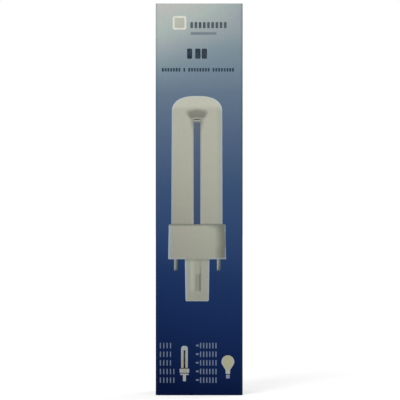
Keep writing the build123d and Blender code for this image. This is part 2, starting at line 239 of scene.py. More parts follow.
suns = {
    "key_sun": ((-0.45, -0.80, 0.55), 2.04, 30),
    "back_sun": ((0.60, 0.70, 0.50), 1.20, 40),
}
for sun_name, (towards, strength, spread_degrees) in suns.items():
    sun_data = bpy.data.lights.new(sun_name, "SUN")
    sun_data.energy = strength
    sun_data.angle = math.radians(spread_degrees)
    sun = bpy.data.objects.new(sun_name, sun_data)
    sun.rotation_euler = Vector(towards).to_track_quat("Z", "Y").to_euler()
    bpy.context.scene.collection.objects.link(sun)
bpy.context.scene.view_settings.view_transform = "Standard"
print("suns", list(suns))

# %% [markdown]
# ## Printed board
# Folding board is a pressed sheet of wood fibre with a white clay coat. Offset ink and a thin satin
# varnish lie on that coat, so the print is smooth with a soft sheen, and faint unevenness of the
# fibre shows under it. The ground runs from pale grey-green at the top to dark blue at the foot, and
# near the top it leans, paler on the left. One run of tones along a leaning height gives all of that.

# %% Print ground
ground_stops = [
    (0.00, "B8BAB6"),
    (0.05, "A9B5B0"),
    (0.12, "99A3A7"),
    (0.19, "7C8E98"),
    (0.27, "617488"),
    (0.38, "4E617D"),
    (0.50, "384F72"),
    (0.63, "283F69"),
    (0.71, "1B325C"),
    (0.80, "112854"),
    (1.00, "000F36"),
]
ground_reach = 1.05
fibre_size = 0.5 * mm
ripple_size = 22 * mm


def leaning_height(put, place):
    """How far down the print a point lies, from 0 at the top, with the lean of the upper part."""
    axes = put("SeparateXYZ", place).node.outputs
    down = put("share", axes["Z"], carton_height, 0.0)
    lean = put("add", put("ease", down, 0.03, 0.24, 0.06, 0.003), put("ease", down, 0.35, 0.85, 0.0, -0.03))
    side = put("multiply", axes["X"], 2 / carton_width)
    # At the very top the pale tone reaches past the middle. Lower down it keeps to the left.
    bulge = product(put, side, side, put("ease", down, 0.02, 0.09, 0.5, -0.3))
    bow = put("add", bulge, put("ease", down, 0.02, 0.14, -0.5, 0.25))
    moved = put("add", down, put("multiply", put("add", side, bow), lean))
    return put("share", moved, 1.0 - ground_reach, 1.0)


def satin_varnish(put, surface, place, colour):
    """Lays an ink colour on the board: satin sheen, faint mottle, fibre and ripples under the coat."""
    fibre = put("TexNoise", place, 1 / fibre_size, 3.0)
    ripple = put("TexNoise", place, 1 / ripple_size, 1.0)
    slow = put("Bump", Height=ripple, Strength=0.35, Distance=0.2 * mm)
    connect(surface, {
        "Base Color": scaled(put, colour, put("ease", fibre, 0.25, 0.75, 0.97, 1.03)),
        "Normal": put("Bump", Height=fibre, Strength=0.25, Distance=0.01 * mm, Normal=slow),
        "Roughness": 0.38,
        "Specular IOR Level": 0.05,
    })


print("ground tones", len(ground_stops))

# %% [markdown]
# ## Where the print ends
# One side of the sheet is printed, and the other is bare grey-white fibre, as are the cut edges. A
# point belongs to the printed side when it lies within a hair of the outside of the folded tube or
# of a lid. That distance is worked out in the material, so the same finish suits every panel.

# %% Printed side and bare side
skin = 0.08 * mm
bleed = 2.0 * mm
bare_colour = "CFC9BB"
# Painted shade for the creases and folds: a darker, greyer tone laid on the ground.
painted_crease_shade = "31363E"
fleck_size = 0.8 * mm
fleck_colour = "B3AC9B"
half_width = carton_width / 2
half_depth = carton_depth / 2
half_height = carton_height / 2


def reach_past(put, place, core):
    """Distance from a box about the carton's middle: 0 inside it, and round its corners outside."""
    past = put("subtract place", put("absolute place", place), core)
    return put("length", put("maximum place", past, (0, 0, 0)))


def printed_side_of_tube(put, place):
    """1 on the outside of the folded tube and its dust flaps, 0 inside and in the cut edges."""
    axes = put("SeparateXYZ", place).node.outputs
    wall_core = (half_width - crease_radius, half_depth - crease_radius, 2 * carton_height)
    flap_core = (half_width - crease_radius, half_depth, half_height - flap_level - crease_radius)
    centred = put("subtract place", place, (0, 0, half_height))
    walls = put("greater_than", reach_past(put, place, wall_core), crease_radius - skin)
    flaps = put("greater_than", reach_past(put, centred, flap_core), crease_radius - skin)
    between = put("less_than", put("absolute", axes["Y"]), half_depth - 2 * board)
    outside = put("maximum", walls, put("multiply", flaps, between))
    near_seam = put("less_than", axes["X"], board - half_width)
    at_back = put("greater_than", axes["Y"], half_depth - skin)
    return put("subtract", outside, product(put, outside, near_seam, at_back))


def height_from_middle(put, place):
    """Distance above or below the carton's middle, so that both ends share one rule."""
    axes = put("SeparateXYZ", place).node.outputs
    return put("absolute", put("subtract", axes["Z"], half_height)), axes


def printed_side_of_lid(put, place):
    """1 on the outside of a closure panel, round its fold, and on the start of its tongue."""
    from_middle, axes = height_from_middle(put, place)
    drop = put("subtract", half_height - board / 2, from_middle)
    back = put("subtract", hinge_y, axes["Y"])
    outer_arc = put("greater_than", put("length", put("CombineXYZ", drop, back)), tongue_radius - skin)
    fold_y = hinge_y - tongue_radius + crease_radius
    past_y = put("maximum", put("subtract", fold_y, axes["Y"]), 0.0)
    past_z = put("maximum", put("subtract", from_middle, half_height - crease_radius), 0.0)
    outer_face = put("greater_than", put("length", put("CombineXYZ", past_y, past_z)), crease_radius - skin)
    near_end = put("ease", from_middle, half_height - bleed - skin, half_height - bleed)
    return put("multiply", put("maximum", outer_arc, outer_face), near_end)


def bare_fibre(put, place):
    """Grey-white colour of the unprinted fibre, with darker flecks."""
    flecks = put("ease", put("TexNoise", place, 1 / fleck_size, 4.0), 0.62, 0.75)
    return laid(put, linear(bare_colour), fleck_colour, flecks)


def folded_edge_shade(put, place):
    """Rises along the folds at the two ends, where painted shade darkens the board."""
    from_middle, axes = height_from_middle(put, place)
    end = put("ease", from_middle, half_height - 0.7 * mm, half_height)
    side = put("ease", put("absolute", axes["Y"]), half_depth - 1.2 * mm, half_depth - 0.3 * mm)
    return product(put, end, side, 0.15)


def board_material(name, printed_side):
    """Printed outside, bare inside: one finish for a part of the folded sheet."""
    material, put, surface, place = blank_material(name)
    ground = put("tones", leaning_height(put, place), stops=ground_stops)
    # Painted shade along the folds at both ends of the carton.
    ground = laid(put, ground, painted_crease_shade, folded_edge_shade(put, place))
    mixed = put("lay", printed_side(put, place), bare_fibre(put, place), ground)
    satin_varnish(put, surface, place, mixed)
    return material


def dress(material, *names):
    """Gives a frame node its finish in place of the plain one."""
    for name in names:
        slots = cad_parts[name].material_slots
        for slot in slots:
            slot.material = material


dress(board_material("offset_printed_folding_board", printed_side_of_tube), "carton_body")
dress(board_material("offset_printed_lid_board", printed_side_of_lid), "top_lid", "bottom_lid")
print("board finishes on carton_body, top_lid, bottom_lid")

# %% [markdown]
# ## The print as one wrap
# In the frame the ground is a set of flat coats. On the real sheet the ink runs on round the creases
# and stops at the rear seam, so it is modelled again as one wrap: a box with no ends, three of its
# upright edges rounded as the creases are, cut open at the seam, and thickened inwards. The front
# sheet and its two corners run on to the panel's ends, because no flap folds there.

# %% Printed wrap
wrap_low = 0.05 * mm
side_low = flap_level + crease_radius
crease_steps = 5
seam_width = 0.57 * mm
smooth_under = math.radians(35)


def choose(obj, mode, test):
    """In edit mode, selects only the vertices, edges or faces whose middle passes a test."""
    bpy.ops.mesh.select_all(action="DESELECT")
    bpy.ops.object.mode_set(mode="OBJECT")
    mesh = obj.data
    if mode == "FACE":
        for item in mesh.polygons:
            item.select = test(obj.matrix_world @ item.center)
    if mode == "EDGE":
        for item in mesh.edges:
            ends = [obj.matrix_world @ mesh.vertices[i].co for i in item.vertices]
            item.select = test(*ends)
    if mode == "VERT":
        for item in mesh.vertices:
            item.select = test(obj.matrix_world @ item.co)
    bpy.ops.object.mode_set(mode="EDIT")


def start_block(name, low, high):
    """Adds a box between two corners and opens it for editing, with its place in its mesh."""
    bpy.ops.object.select_all(action="DESELECT")
    low = Vector(low)
    high = Vector(high)
    bpy.ops.mesh.primitive_cube_add(size=1, location=(low + high) / 2, scale=high - low)
    obj = bpy.context.active_object
    obj.name = name
    obj.data.name = name
    bpy.ops.object.transform_apply(location=True, rotation=True, scale=True)
    bpy.ops.object.mode_set(mode="EDIT")
    return obj


outer_x = half_width + ink
outer_y = half_depth + ink
side_high = carton_height - side_low


def front_edge_at(height):
    """Test for the front sheet's edge at a height, its two rounded corners with it."""
    corner_end = crease_radius + 2 * ink - outer_y
    return lambda a, b: max(a.y, b.y) < corner_end and max(abs(a.z - height), abs(b.z - height)) < ink


wrap = start_block("printed_wrap", (-outer_x, -outer_y, side_low), (outer_x, outer_y, side_high))
bpy.ops.mesh.select_mode(type="FACE")
choose(wrap, "FACE", lambda middle: abs(middle.x) < mm and abs(middle.y) < mm)
bpy.ops.mesh.delete(type="FACE")
choose(wrap, "FACE", lambda middle: middle.y > outer_y - mm)
bpy.ops.mesh.bisect(plane_co=(seam_width - outer_x, 0, 0), plane_no=(1, 0, 0), clear_inner=True)
bpy.ops.mesh.select_mode(type="EDGE")
choose(wrap, "EDGE", lambda a, b: abs(a.x - b.x) < ink and abs(a.y - b.y) < ink and not (a.x < 0 and a.y > 0))
bpy.ops.mesh.bevel(offset=crease_radius + ink, segments=crease_steps)
for height, rise in ((side_high, carton_height - side_high), (side_low, wrap_low - side_low)):
    choose(wrap, "EDGE", front_edge_at(height))
    bpy.ops.mesh.extrude_region_move(TRANSFORM_OT_translate={"value": (0, 0, rise)})
bpy.ops.object.mode_set(mode="OBJECT")
bpy.ops.object.modifier_add(type="SOLIDIFY")
wrap.modifiers[0].thickness = ink
wrap.modifiers[0].offset = -1
bpy.ops.object.modifier_apply(modifier=wrap.modifiers[0].name)
bpy.ops.object.shade_smooth_by_angle(angle=smooth_under)
print("printed_wrap", len(wrap.data.vertices), "vertices")

# %% [markdown]
# The creases of a printed carton are pressed lines. Painted shade turns the colour darker and greyer
# within a millimetre of the fold. The wrap's finish adds that painted shade to the ground, and it
# adds a little warm grey where the ground shows through the slot of the pictured lamp.

# %% Finish of the wrap
crease_shade_reach = 1.0 * mm
slot_half = 1.6 * mm
glass_low, glass_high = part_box("print_lamp_glass")
lamp_x = (glass_low.x + glass_high.x) / 2


def near_crease(put, place):
    """Rises to 1 at the upright creases."""
    axes = put("SeparateXYZ", place).node.outputs
    near_x = put("ease", put("absolute", axes["X"]), half_width - crease_shade_reach, half_width)
    near_y = put("ease", put("absolute", axes["Y"]), half_depth - crease_shade_reach, half_depth)
    return put("multiply", near_x, near_y)


wrap_ink, put, surface, place = blank_material("offset_ink_on_creased_board")
ground = put("tones", leaning_height(put, place), stops=ground_stops)
axes = put("SeparateXYZ", place).node.outputs
from_slot = put("absolute", put("subtract", axes["X"], lamp_x))
haze = (
    put("ease", axes["Z"], glass_high.z - 22 * mm, glass_high.z - 10 * mm, 0.13, 0.28),
    put("less_than", from_slot, slot_half),
    put("less_than", axes["Y"], 0.0),
    put("greater_than", axes["Z"], glass_low.z),
    put("less_than", axes["Z"], glass_high.z),
)
ground = laid(put, ground, "70624A", *haze)
# Painted shade along the upright creases.
ground = laid(put, ground, painted_crease_shade, near_crease(put, place), 0.22)
satin_varnish(put, surface, place, ground)
wrap.data.materials.append(wrap_ink)
ground_nodes = [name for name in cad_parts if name.startswith("print_ground_")]
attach(wrap, "carton")
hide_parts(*ground_nodes)
print("wrap stands for", len(ground_nodes), "coats")

# %% [markdown]
# ## The printed lamp
# The picture on the panel is a soft, grey-beige photograph of the lamp. It is kept as plain shapes,
# and each shape gets the tones that a round tube or a moulded block shows in flat light: tones across
# it, tones down it, and a paler, bluer rim. Nothing more than these few tones is needed at this size.

# %% Tones of the printed lamp
def share_across(put, x_axis, z_axis, sides, head, foot, widening):
    """0 to 1 between two sides that part by a widening on the way from the head to the foot."""
    part = put("multiply", put("share", z_axis, head, foot), widening)
    return put("share", x_axis, put("subtract", sides[0], part), put("add", sides[1], part))


def band(put, axis, low, high, soft):
    """1 between two places, easing to 0 over a soft margin outside them."""
    rise = put("ease", axis, low - soft, low)
    return put("multiply", rise, put("ease", axis, high, high + soft, 1.0, 0.0))


def flat_place(material_name):
    """A fresh material for a flat print, with its coordinates across and up."""
    material, put, surface, place = blank_material(material_name)
    axes = put("SeparateXYZ", place).node.outputs
    return material, put, surface, place, axes["X"], axes["Z"]


bridge_low, bridge_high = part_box("print_lamp_bridge")
cap_low, cap_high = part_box("print_lamp_cap")
post_low, post_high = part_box("print_lamp_post")
lines_low, lines_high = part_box("print_lamp_post_lines")
pins_low, pins_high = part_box("print_lamp_pins")
half_glass = (glass_high.x - glass_low.x) / 2
picture_size = [round(size / mm, 1) for size in (2 * half_glass, glass_high.z - glass_low.z)]
print("pictured glass", picture_size, "mm")

# %% [markdown]
# Each part of the picture is a flat coat of ink. It starts as an upright plane, whose corners are
# moved and rounded, and a Solidify modifier gives it the ink's thickness. The glass widens a little
# towards the cap. Its crown is a flattened arch: both upper corners are rounded until they meet, with
# a fuller curve than a circle's, and the arch is pressed down. Three cuts open the slot below it.

# %% Coats of ink
def start_coat(name, left, right, foot, head):
    """Adds an upright plane over the ground ink and opens it for editing."""
    bpy.ops.object.select_all(action="DESELECT")
    middle = ((left + right) / 2, front_face - 2 * ink, (foot + head) / 2)
    bpy.ops.mesh.primitive_plane_add(size=1, location=middle, rotation=(math.radians(90), 0, 0))
    obj = bpy.context.active_object
    obj.name = name
    obj.data.name = name
    obj.scale = (right - left, head - foot, 1)
    bpy.ops.object.transform_apply(location=True, rotation=True, scale=True)
    bpy.ops.object.mode_set(mode="EDIT")
    bpy.ops.mesh.select_mode(type="VERT")
    return obj


def slide(obj, test, across):
    """Moves the vertices that pass a test sideways."""
    choose(obj, "VERT", test)
    bpy.ops.transform.translate(value=(across, 0, 0))


def round_corners(obj, test, reach, segments=4, fullness=0.5):
    """Rounds the corners that pass a test. A fullness of 0.5 gives a circle's curve."""
    choose(obj, "VERT", test)
    bpy.ops.mesh.bevel(offset=reach, segments=segments, profile=fullness, affect="VERTICES")


def finish_coat(obj, slot, *nodes):
    """Thickens the drawn sheet and sets it on the carton in place of frame nodes."""
    bpy.ops.object.mode_set(mode="OBJECT")
    bpy.ops.object.modifier_add(type="SOLIDIFY")
    obj.modifiers[0].thickness = ink
    obj.modifiers[0].offset = -1
    bpy.ops.object.modifier_apply(modifier=obj.modifiers[0].name)
    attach(obj, "carton")
    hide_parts(*nodes)
    print(obj.name, len(obj.data.polygons), "faces")


print("coats lie", round((2 * ink) / mm, 3), "mm over the board")

# %% Outline of the glass
crown_rise = 6.5 * mm
crown_top = glass_high.z - 0.18 * mm
crown_fullness = 0.574
crown_steps = 16
spring = crown_top - crown_rise
slot_left = lamp_x - 1.35 * mm
slot_right = lamp_x + 1.29 * mm
spread_left = 0.24 * mm
spread_right = 0.08 * mm

tubes = start_coat("lamp_tubes_print", glass_low.x, glass_high.x, glass_low.z, spring + half_glass)
round_corners(tubes, lambda v: v.z > spring, 0.999 * half_glass, crown_steps, crown_fullness)
choose(tubes, "VERT", lambda v: v.z > spring + ink)
bpy.ops.transform.resize(value=(1, 1, crown_rise / half_glass), center_override=(lamp_x, 0, spring))
slide(tubes, lambda v: v.z < spring - mm and v.x < lamp_x, -spread_left)
slide(tubes, lambda v: v.z < spring - mm and v.x > lamp_x, spread_right)
sideways = (1, 0, 0)
upwards = (0, 0, 1)
slot_cuts = (
    ((slot_left, 0, 0), sideways),
    ((slot_right, 0, 0), sideways),
    ((0, 0, bridge_low.z), upwards),
)
for point, normal in slot_cuts:
    bpy.ops.mesh.select_all(action="SELECT")
    bpy.ops.mesh.bisect(plane_co=point, plane_no=normal)
bpy.ops.mesh.select_mode(type="FACE")
choose(tubes, "FACE", lambda v: slot_left < v.x < slot_right and v.z < bridge_low.z)
bpy.ops.mesh.delete(type="FACE")
finish_coat(tubes, "ink_glass", "print_lamp_glass", "print_lamp_bridge")

# %% Outlines of the cap, the post and the pins
cap_foot = cap_low.z - 0.08 * mm
pin_width = 1.5 * mm
pin_left = pins_low.x + 0.03 * mm
pin_spacing = pins_high.x - pins_low.x - pin_width + 0.08 * mm

cap_left = cap_low.x + 0.2 * mm
cap_right = cap_high.x - 0.14 * mm
cap_spread = 0.27 * mm
cap = start_coat("lamp_cap_print", cap_left, cap_right, cap_foot, cap_high.z)
slide(cap, lambda v: v.z < cap_high.z - mm and v.x < lamp_x, -cap_spread)
slide(cap, lambda v: v.z < cap_high.z - mm and v.x > lamp_x, cap_spread)
round_corners(cap, lambda v: True, 0.25 * mm)
finish_coat(cap, "ink_cap", "print_lamp_cap", "print_lamp_cap_shade")

post_left = post_low.x - 0.03 * mm
post_right = post_high.x + 0.12 * mm
post_spread = -0.26 * mm
post = start_coat("lamp_post_print", post_left, post_right, post_low.z, cap_foot)
slide(post, lambda v: v.z < cap_foot - mm and v.x < lamp_x, -post_spread)
slide(post, lambda v: v.z < cap_foot - mm and v.x > lamp_x, post_spread)
round_corners(post, lambda v: v.z < cap_foot - mm, 0.5 * mm)
finish_coat(post, "ink_post", "print_lamp_post", "print_lamp_post_lines")

pins = start_coat("lamp_pins_print", pin_left, pin_left + pin_width, pins_low.z, cap_foot)
round_corners(pins, lambda v: v.z < cap_foot - mm, 0.4 * mm)
bpy.ops.mesh.select_all(action="SELECT")
bpy.ops.mesh.duplicate_move(TRANSFORM_OT_translate={"value": (pin_spacing, 0, 0)})
finish_coat(pins, "ink_pins", "print_lamp_pins")

# %% [markdown]
# The tubes are round, so their picture is pale, with a bluer rim at each side, and it darkens towards
# the cap. One run of tones goes across, and one level goes down.

# %% Printed glass
glass_across = [
    (0.00, "ADAE9F"),
    (0.55, "AEAFA1"),
    (0.88, "ADAE9F"),
    (0.94, "A6A89E"),
    (0.965, "A1A6A0"),
    (1.00, "A0ACB5"),
]
dome_tone = "BABBAC"
foot_level = 0.76
foot_lean = 0.06
funnel_tone = "7B7A71"
crown_rim = "B7BEBE"
slot_rim = "9BA3A0"

picture_glass, put, surface, place, x_axis, z_axis = flat_place("printed_glass_tubes")
off_line = put("subtract", x_axis, lamp_x)
from_line = put("absolute", off_line)
lower = put("subtract", 1.0, put("share", z_axis, glass_low.z, bridge_low.z))
tone = put("tones", put("share", x_axis, glass_low.x, glass_high.x), stops=glass_across)
from_left = put("add", off_line, put("multiply", lower, 0.25 * mm))
tone = laid(put, tone, "A4AEBC", put("ease", from_left, -half_glass, 0.9 * mm - half_glass, 0.8, 0.0))
dim = put("subtract", 1.0, put("multiply", put("power", lower, 1.4), 1 - foot_level))
tone = scaled(put, tone, put("add", dim, product(put, off_line, lower, foot_lean / half_glass)))
tone = laid(put, tone, dome_tone, put("ease", z_axis, bridge_high.z - 0.2 * mm, bridge_high.z + 2.0 * mm))
print("glass tones", len(glass_across))

# %% [markdown]
# The shade where the tubes join is a soft funnel: its top bows up in the middle, it narrows down to the
# slot, and a thin dark line and a pale one close it. Where a tone ends is a distance from a slant.

# %% Shade of the bridge
slot_head = bridge_low.z
funnel_foot = slot_head + 1.6 * mm
funnel_half = put("ease", z_axis, funnel_foot - 1.2 * mm, funnel_foot + 2.6 * mm, 2.25 * mm, 4.05 * mm)
bowed = put("add", z_axis, put("multiply", from_line, 0.17))
over_foot = put("ease", z_axis, funnel_foot - 0.3 * mm, funnel_foot + 0.5 * mm)
funnel = (
    put("ease", put("subtract", from_line, funnel_half), -1.0 * mm, 1.0 * mm, 1.0, 0.0),
    put("ease", bowed, funnel_foot + 2.95 * mm, funnel_foot + 4.65 * mm, 1.0, 0.0),
    put("maximum", over_foot, put("ease", z_axis, slot_head - 3.0 * mm, slot_head, 0.0, 0.7)),
    put("ease", z_axis, funnel_foot + 0.6 * mm, funnel_foot + 2.6 * mm, 1.0, 0.85),
)
arched = put("add", z_axis, put("multiply", from_line, 0.2))
arch = (
    band(put, arched, funnel_foot + 0.2 * mm, funnel_foot + 0.6 * mm, 0.3 * mm),
    put("ease", from_line, 1.8 * mm, 2.6 * mm, 0.75, 0.0),
)
near_slot = put("ease", from_line, 0.8 * mm, 1.6 * mm, 1.0, 0.0)
dark_line = band(put, z_axis, funnel_foot - 0.4 * mm, funnel_foot - 0.2 * mm, 0.17 * mm)
pale_line = band(put, z_axis, slot_head + 0.75 * mm, slot_head + 0.95 * mm, 0.2 * mm)
slot_top = (
    put("ease", from_line, 1.2 * mm, 1.7 * mm, 0.9, 0.0),
    put("ease", z_axis, slot_head + 0.35 * mm, slot_head + 0.6 * mm, 1.0, 0.0),
)
for text, masks in (
    (funnel_tone, funnel),
    ("969A8C", arch),
    ("484E46", (near_slot, dark_line)),
    ("9DA49A", (near_slot, pale_line)),
    ("5F686C", slot_top),
):
    tone = laid(put, tone, text, *masks)
near_head = put("ease", z_axis, slot_head - 6.0 * mm, slot_head - 1.0 * mm, 0.0, 0.6)
slot_side = product(
    put,
    put("ease", from_line, 1.3 * mm, 2.4 * mm, 0.75, 0.0),
    put("ease", z_axis, slot_head - 0.5 * mm, slot_head + 0.5 * mm, 1.0, 0.0),
)
tone = put("lay", slot_side, tone, laid(put, linear(slot_rim), "7C868A", near_head))
rise = put("divide", put("maximum", put("subtract", z_axis, spring), 0.0), crown_rise)
run = put("divide", from_line, half_glass)
outline = put("add", put("power", run, 2.5), put("power", rise, 2.5))
tone = laid(put, tone, crown_rim, put("ease", outline, 0.69, 0.93), put("ease", rise, 0.0, 0.35), 0.85)
socket_line = put("ease", z_axis, cap_high.z + 0.05 * mm, cap_high.z + 0.5 * mm, 0.45, 0.0)
satin_varnish(put, surface, place, laid(put, tone, "6E7268", socket_line))
tubes.data.materials.append(picture_glass)
print("slot head at", round(slot_head / mm, 1), "mm")

# %% [markdown]
# The cap is moulded and dull. Its picture was lit from the left, so the right side lies in shade, with
# a thin dark line where the glass goes in and a paler one along the lower edge.

# %% Printed cap
cap_across = [
    (0.00, "9CA9B5"),
    (0.03, "949A9C"),
    (0.08, "99998D"),
    (0.72, "9EA092"),
    (0.80, "9B9E90"),
    (0.87, "85887B"),
    (0.93, "72746B"),
    (0.97, "6C7270"),
    (1.00, "81909A"),
]
picture_cap, put, surface, place, x_axis, z_axis = flat_place("printed_moulded_cap")
# The shaded side bulges: it starts further out at half height, and further in at the top.
half_up = band(put, z_axis, cap_low.z + 6.0 * mm, cap_high.z - 5.0 * mm, 3.0 * mm)
at_right = put("ease", x_axis, lamp_x + 3.0 * mm, lamp_x + 7.0 * mm)
across = put("subtract", x_axis, product(put, half_up, at_right, 0.4 * mm))
across = share_across(put, across, z_axis, (cap_left, cap_right), cap_high.z, cap_foot, cap_spread)
tone = put("tones", across, stops=cap_across)
tone = scaled(put, tone, put("ease", z_axis, cap_low.z, cap_high.z, 0.95, 1.06))
top_shade = put("ease", z_axis, cap_high.z - 2.6 * mm, cap_high.z - 0.6 * mm)
under_glass = put("ease", z_axis, cap_high.z - 0.95 * mm, cap_high.z - 0.15 * mm, 0.0, 0.85)
lower_rim = put("ease", z_axis, cap_low.z + 0.2 * mm, cap_low.z + 0.9 * mm, 0.4, 0.0)
off_post = put("absolute", put("subtract", x_axis, lamp_x))
over_post = put("ease", off_post, 4.4 * mm, 5.4 * mm, 0.35, 0.0)
beside_post = put("ease", off_post, 4.4 * mm, 5.4 * mm)
for text, masks in (
    ("676A61", (top_shade, at_right, 0.3)),
    ("70746A", (under_glass,)),
    ("777A70", (over_post, lower_rim)),
    ("96A2AC", (lower_rim, beside_post)),
):
    tone = laid(put, tone, text, *masks)
satin_varnish(put, surface, place, tone)
cap.data.materials.append(picture_cap)
print("cap tones", len(cap_across))

# %% [markdown]
# The post is a hollow moulding with a groove and a notch for a catch, and each pin is round and bright,
# with one light line. Both pins share one run of tones, because the distance between them is taken off
# the right one.

# %% Printed post and pins
post_across = [
    (0.00, "9EA3AB"),
    (0.05, "9CA1A8"),
    (0.10, "969A93"),
    (0.19, "989C8F"),
    (0.27, "A5AB9B"),
    (0.35, "A1A395"),
    (0.44, "999B8D"),
    (0.56, "989A8D"),
    (0.63, "8E9083"),
    (0.68, "979A8E"),
    (0.85, "9A9C92"),
    (0.94, "969B97"),
    (1.00, "9FA6B0"),
]
groove_x = lines_high.x - 0.2 * mm
notch_low = lines_low.z + 0.1 * mm

picture_post, put, surface, place, x_axis, z_axis = flat_place("printed_starter_post")
across = share_across(put, x_axis, z_axis, (post_left, post_right), cap_foot, post_low.z, post_spread)
tone = put("tones", across, stops=post_across)
under_notch = (
    band(put, x_axis, post_low.x + mm, post_high.x - mm, 0.3 * mm),
    put("ease", z_axis, notch_low - 1.2 * mm, notch_low + 0.6 * mm, 0.85, 0.0),
)
notch = (
    band(put, x_axis, groove_x - 1.8 * mm, groove_x, 0.35 * mm),
    band(put, z_axis, notch_low, notch_low + 6.0 * mm, 0.5 * mm),
)
groove = (
    band(put, x_axis, groove_x - 0.25 * mm, groove_x + 0.2 * mm, 0.3 * mm),
    band(put, z_axis, notch_low, notch_low + 6.2 * mm, 0.7 * mm),
)
hairline = (
    band(put, x_axis, groove_x + 0.1 * mm, groove_x + 0.2 * mm, 0.25 * mm),
    band(put, z_axis, notch_low + 6.2 * mm, notch_low + 8.5 * mm, 1.2 * mm),
)
for text, masks, amount in (
    ("97988C", under_notch, 1.0),
    ("87887C", notch, 0.75),
    ("6E6F66", groove, 0.8),
    ("6E6F66", hairline, 0.6),
):
    tone = laid(put, tone, text, *masks, amount)
tone = scaled(put, tone, put("ease", z_axis, post_low.z, post_high.z, 0.95, 1.0))
tone = laid(put, tone, "7A7C72", put("ease", z_axis, cap_low.z - 1.3 * mm, cap_low.z - 0.3 * mm, 0.0, 0.6))
tone = laid(put, tone, "9CA5AD", put("ease", z_axis, post_low.z, post_low.z + 0.5 * mm, 0.7, 0.0))
satin_varnish(put, surface, place, tone)
post.data.materials.append(picture_post)

pin_across = [
    (0.00, "5E6672"),
    (0.14, "7F8784"),
    (0.28, "A5AAA3"),
    (0.40, "858981"),
    (0.52, "656961"),
    (0.75, "676C64"),
    (1.00, "4C5560"),
]
picture_pins, put, surface, place, x_axis, z_axis = flat_place("printed_contact_pins")
pin_side = put("modulo", put("subtract", x_axis, pin_left), pin_spacing)
past_light = put("ease", pin_side, 0.25 * pin_width, 0.45 * pin_width)
to_tip = put("ease", z_axis, pins_low.z, pins_low.z + 3.2 * mm, 0.5, 0.0)
tip = put("ease", z_axis, pins_low.z, pins_low.z + 0.9 * mm, 0.6, 0.0)
tone = put("tones", put("share", pin_side, 0.0, pin_width), stops=pin_across)
tone = laid(put, tone, "454B4A", past_light, to_tip)
satin_varnish(put, surface, place, laid(put, tone, "3C4658", tip))
pins.data.materials.append(picture_pins)
print("post tones", len(post_across), "pin tones", len(pin_across))

# %% [markdown]
# ## Plain marks
# Rows of small plain blocks, all of one height and colour in a row and set in groups, give the panel
# its rhythm. One block with rounded corners is modelled, and copies of it, each with its own mesh, are
# laid along the rows and joined.

# %% Ink and blocks
cloud_size = 3 * mm


def ink_material(name, text):
    """A plain ink of one colour on the varnished board, a little uneven as such ink lies."""
    material, put, surface, place = blank_material(name)
    clouds = put("ease", put("TexNoise", place, 1 / cloud_size), 0.3, 0.7, 0.0, 0.12)
    satin_varnish(put, surface, place, laid(put, linear(text), "8892A0", clouds))
    return material


def ink_block(name, x_range, z_range, corner, layer=1, top_only=False):
    """A small coat of ink on the front panel, with its corners rounded, or only the upper two."""
    far = front_face - layer * ink
    middle = sum(z_range) / 2
    obj = start_block(name, (x_range[0], far - ink, z_range[0]), (x_range[1], far, z_range[1]))
    bpy.ops.mesh.select_mode(type="EDGE")
    choose(obj, "EDGE", lambda a, b: (
        abs(a.x - b.x) < ink / 4 and abs(a.z - b.z) < ink / 4 and (a.z > middle or not top_only)
    ))
    bpy.ops.mesh.bevel(offset=corner, segments=4)
    bpy.ops.object.mode_set(mode="OBJECT")
    return obj


def joined(pieces, name):
    """Makes one piece of several and names it."""
    bpy.ops.object.select_all(action="DESELECT")
    for piece in pieces:
        piece.select_set(True)
    bpy.context.view_layer.objects.active = pieces[0]
    if len(pieces) > 1:
        bpy.ops.object.join()
    whole = bpy.context.active_object
    whole.name = name
    whole.data.name = name
    return whole


def copied(pattern, low, width, height):
    """A copy of a block one millimetre square, with its own mesh, set to a place and a size."""
    bpy.ops.object.select_all(action="DESELECT")
    pattern.select_set(True)
    bpy.context.view_layer.objects.active = pattern
    bpy.ops.object.duplicate(linked=False)
    copy = bpy.context.active_object
    copy.scale = (width / mm, 1, height / mm)
    copy.location = (low[0], 0, low[1])
    bpy.ops.object.transform_apply(location=True, rotation=True, scale=True)
    return copy


print("blocks are", round(ink / mm, 3), "mm thick")

# %% Rows of blocks
def block_rows(name, rows):
    """Lays copies of one block in rows: each is (left edge, foot, height, groups, gap, group gap)."""
    pattern = ink_block("pattern_block", (0, mm), (0, mm), 0.16 * mm)
    copies = []
    for left, foot, height, groups, gap, group_gap in rows:
        x = left
        for group in groups:
            for width in group:
                copies.append(copied(pattern, (x, foot), width, height))
                x += width + gap
            x += group_gap - gap
    bpy.data.objects.remove(pattern)
    return joined(copies, name)


top = carton_height
small_block = 0.74 * mm
title_groups = [(1.05 * mm,) * 9]
rating_groups = [(2.0 * mm,), (2.1 * mm, 2.1 * mm)]
caption_groups = [(small_block,) * 7, (small_block,), (small_block,) * 8, (small_block,) * 8]
headings = {
    "title_blocks": (-3.5 * mm, top - 9.8 * mm, 2.4 * mm, title_groups, 0.61 * mm, 0),
    "rating_blocks": (-4.8 * mm, top - 21.9 * mm, 4.0 * mm, rating_groups, 0.5 * mm, 1.2 * mm),
    "caption_blocks": (-14.8 * mm, top - 27.0 * mm, 1.4 * mm, caption_groups, 0.36 * mm, 1.2 * mm),
}
heading_inks = {
    "title_blocks": ("dark_offset_ink", "4A555C"),
    "rating_blocks": ("black_offset_ink", "212D38"),
    "caption_blocks": ("navy_offset_ink", "263848"),
}
for name, row in headings.items():
    heading = block_rows(name, [row])
    heading.data.materials.append(ink_material(*heading_inks[name]))
    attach(heading, "carton")
    if name == "title_blocks":
        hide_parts("print_heading_bars")
    print(name, len(heading.data.polygons), "faces")

